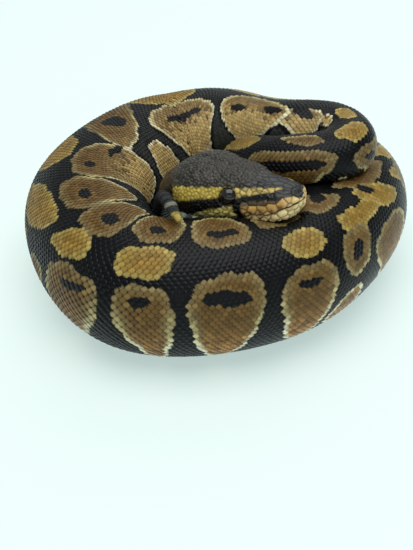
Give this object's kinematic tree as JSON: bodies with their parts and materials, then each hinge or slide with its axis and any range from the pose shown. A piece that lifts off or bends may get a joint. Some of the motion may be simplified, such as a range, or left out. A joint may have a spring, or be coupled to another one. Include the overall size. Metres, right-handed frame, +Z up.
{
  "type": "coiled ball python",
  "caption": "Still, life-size coiled ball python lying on the floor, its head resting on the coil and its tail tip showing beside the jaw.",
  "frame": {"origin": "on the floor under the centre of the bounding box of the whole animal", "axes": "+Z up from the floor, +X to the side the snout points to, -Y to the side of the coil nearest the camera"},
  "size_m": [0.0993, 0.098, 0.0417],
  "materials": {
    "body_skin": "smooth overlapping scales, satin, dark brown-black with tan blotches",
    "head_skin": "small smooth scales, satin, dark grey-brown",
    "jaw_skin": "cream lip scales, satin",
    "eye": "wet, clear, near black"
  },
  "bodies": {
    "root": {"head": "head_skin", "lower_jaw": "jaw_skin", "eye_left": "eye", "eye_right": "eye", "neck": "body_skin", "trunk_1": "body_skin", "trunk_2": "body_skin", "trunk_3": "body_skin", "trunk_4": "body_skin", "trunk_5": "body_skin", "trunk_6": "body_skin", "trunk_7": "body_skin", "trunk_8": "body_skin", "trunk_9": "body_skin", "trunk_10": "body_skin", "tail": "body_skin"}
  },
  "joints": []
}
